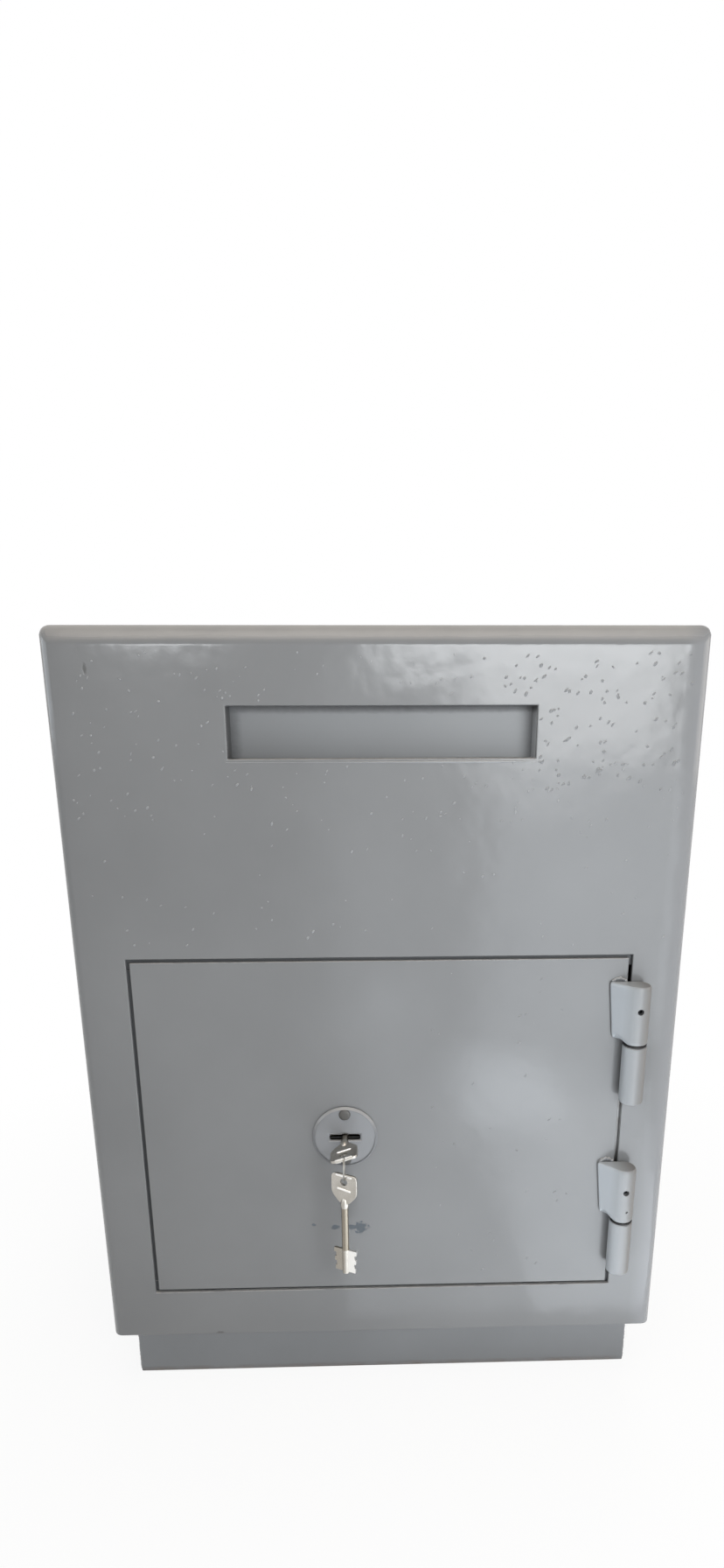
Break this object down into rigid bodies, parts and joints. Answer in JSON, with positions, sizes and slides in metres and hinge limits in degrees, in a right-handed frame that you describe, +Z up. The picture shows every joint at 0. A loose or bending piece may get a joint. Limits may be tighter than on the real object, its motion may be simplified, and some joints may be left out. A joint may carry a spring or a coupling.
{
  "type": "book drop box",
  "caption": "Freestanding painted steel drop box with a letterbox slot and hanging flap, a flush key-locked lower door on lift-off hinges, a spare key on a ring and a recessed plinth.",
  "frame": {"origin": "on the floor, under the middle of the bounding box of the box with its keys", "axes": "+Z up, -Y out of the front with the slot and the door, +X to the right of a person who faces it, the side with the hinges"},
  "size_m": [0.5, 0.5012, 0.67],
  "materials": {
    "grey_enamel": "semi-gloss light grey enamel on welded sheet steel",
    "lock_steel": "plain mild steel, lightly oiled",
    "key_nickel": "worn nickel plate",
    "rivet_steel": "darkened steel rivet",
    "lever_brass": "plain brass"
  },
  "bodies": {
    "cabinet": {"front_panel": "grey_enamel", "body_wrap": "grey_enamel", "floor_plate": "grey_enamel", "back_panel": "grey_enamel", "plinth_front": "grey_enamel", "plinth_rear": "grey_enamel", "plinth_left": "grey_enamel", "plinth_right": "grey_enamel", "door_stop_top": "grey_enamel", "door_stop_bottom": "grey_enamel", "door_stop_left": "grey_enamel", "bolt_keeper": "lock_steel", "slot_sleeve": "grey_enamel", "flap_bracket_left": "grey_enamel", "flap_bracket_right": "grey_enamel", "flap_rod": "lock_steel", "deposit_baffle": "grey_enamel", "hinge_upper_frame_knuckle": "grey_enamel", "hinge_lower_frame_knuckle": "grey_enamel", "hinge_upper_pin": "lock_steel", "hinge_lower_pin": "lock_steel", "hinge_upper_washer": "lever_brass", "hinge_lower_washer": "lever_brass"},
    "door": {"door_plate": "grey_enamel", "door_stiffener_upper": "grey_enamel", "door_stiffener_lower": "grey_enamel", "dog_bar": "lock_steel", "hinge_upper_door_knuckle": "grey_enamel", "hinge_lower_door_knuckle": "grey_enamel", "escutcheon": "grey_enamel", "escutcheon_rivet_top": "rivet_steel", "escutcheon_rivet_bottom": "rivet_steel", "lock_case": "lock_steel", "lock_cover": "lock_steel", "lock_screw_top_left": "lock_steel", "lock_screw_top_right": "lock_steel", "lock_screw_bottom_left": "lock_steel", "lock_screw_bottom_right": "lock_steel", "lever_post": "lock_steel", "bolt_guide": "lock_steel"},
    "flap": {"slot_flap": "grey_enamel"},
    "levers": {"lock_lever_1": "lever_brass", "lock_lever_2": "lever_brass", "lock_lever_3": "lever_brass", "lock_lever_4": "lever_brass"},
    "bolt": {"lock_bolt": "lock_steel"},
    "key": {"lock_key": "key_nickel"},
    "ring": {"key_ring": "key_nickel"},
    "spare": {"spare_key": "key_nickel"}
  },
  "joints": [
    {"name": "door_swing", "type": "hinge", "parent": "cabinet", "child": "door", "pos_m": [0.211, -0.20985, 0.258], "axis": [0, 0, 1], "range_deg": [0, 170]},
    {"name": "flap_swing", "type": "hinge", "parent": "cabinet", "child": "flap", "pos_m": [0.002, -0.17955, 0.624], "axis": [1, 0, 0], "range_deg": [0, 70]},
    {"name": "key_turn", "type": "hinge", "parent": "door", "child": "key", "pos_m": [-0.0325, -0.19935, 0.255], "axis": [0, -1, 0], "range_deg": [0, 90.5]},
    {"name": "bolt_throw", "type": "slide", "parent": "door", "child": "bolt", "axis": [-1, 0, 0], "range_m": [0, 0.014]},
    {"name": "lever_lift", "type": "hinge", "parent": "door", "child": "levers", "pos_m": [-0.0065, -0.15985, 0.2425], "axis": [0, -1, 0], "range_deg": [0, 8.1], "stiffness_Nm_per_rad": 0.02, "springref_deg": -34.38},
    {"name": "ring_roll", "type": "hinge", "parent": "key", "child": "ring", "pos_m": [-0.0325, -0.23985, 0.24747], "axis": [1, 0, 0], "range_deg": [-40, 18]},
    {"name": "spare_hang", "type": "hinge", "parent": "ring", "child": "spare", "pos_m": [-0.0325, -0.23985, 0.23747], "axis": [0, -1, 0], "range_deg": [-90.5, 0]}
  ],
  "couplings": [
    {"joint": "key_turn", "follows": "bolt_throw", "rad_per_m": 112.2},
    {"joint": "lever_lift", "follows": "bolt_throw", "rad_per_m": 9.9733},
    {"joint": "spare_hang", "follows": "bolt_throw", "rad_per_m": -112.2}
  ]
}
